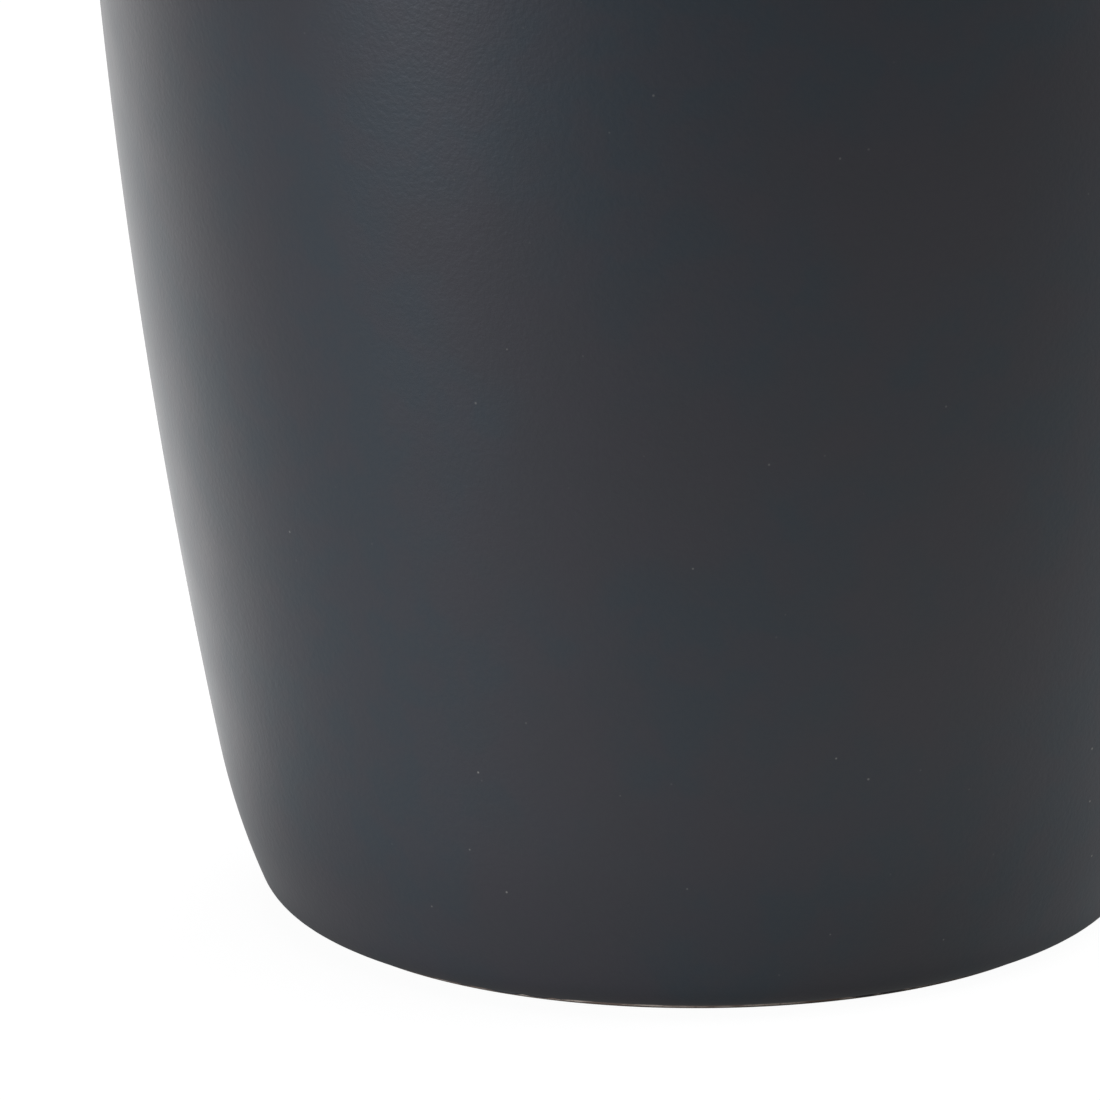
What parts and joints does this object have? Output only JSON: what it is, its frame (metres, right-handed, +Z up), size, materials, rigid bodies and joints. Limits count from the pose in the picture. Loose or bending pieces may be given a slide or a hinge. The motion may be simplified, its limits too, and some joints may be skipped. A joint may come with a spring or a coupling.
{
  "type": "candle jar",
  "caption": "Empty candle jar: tapered matte slate-glazed stoneware tumbler on a bare clay foot ring, with a lift-off laminated bamboo lid and a finned silicone seal ring.",
  "frame": {"origin": "centre of the plane that the foot ring stands on, which is the lowest plane of the jar", "axes": "+Z up along the jar's axis of revolution; X and Y lie in the standing plane, and the jar is the same all round"},
  "size_m": [0.091, 0.091, 0.109],
  "materials": {
    "slate_glaze": "matte slate-grey stoneware glaze with fine orange peel and sparse pinholes, bare grey-brown clay at the foot",
    "bamboo_face": "oiled carbonised bamboo strips, face plies of the lid",
    "bamboo_core": "oiled carbonised bamboo strips, core ply laid across the face plies",
    "silicone": "translucent white moulded silicone"
  },
  "bodies": {
    "vessel": {"vessel": "slate_glaze"},
    "seal": {"seal_ring": "silicone"},
    "lid": {"lid_top_ply": "bamboo_face", "lid_core_ply": "bamboo_core", "lid_plug_ply": "bamboo_face"}
  },
  "joints": [
    {"name": "lid_lift", "type": "slide", "parent": "vessel", "child": "seal", "axis": [0, 0, 1], "range_m": [0, 0.06]},
    {"name": "lid_turn", "type": "hinge", "parent": "seal", "child": "lid", "pos_m": [0, 0, 0.1], "axis": [0, 0, 1], "continuous": true}
  ]
}
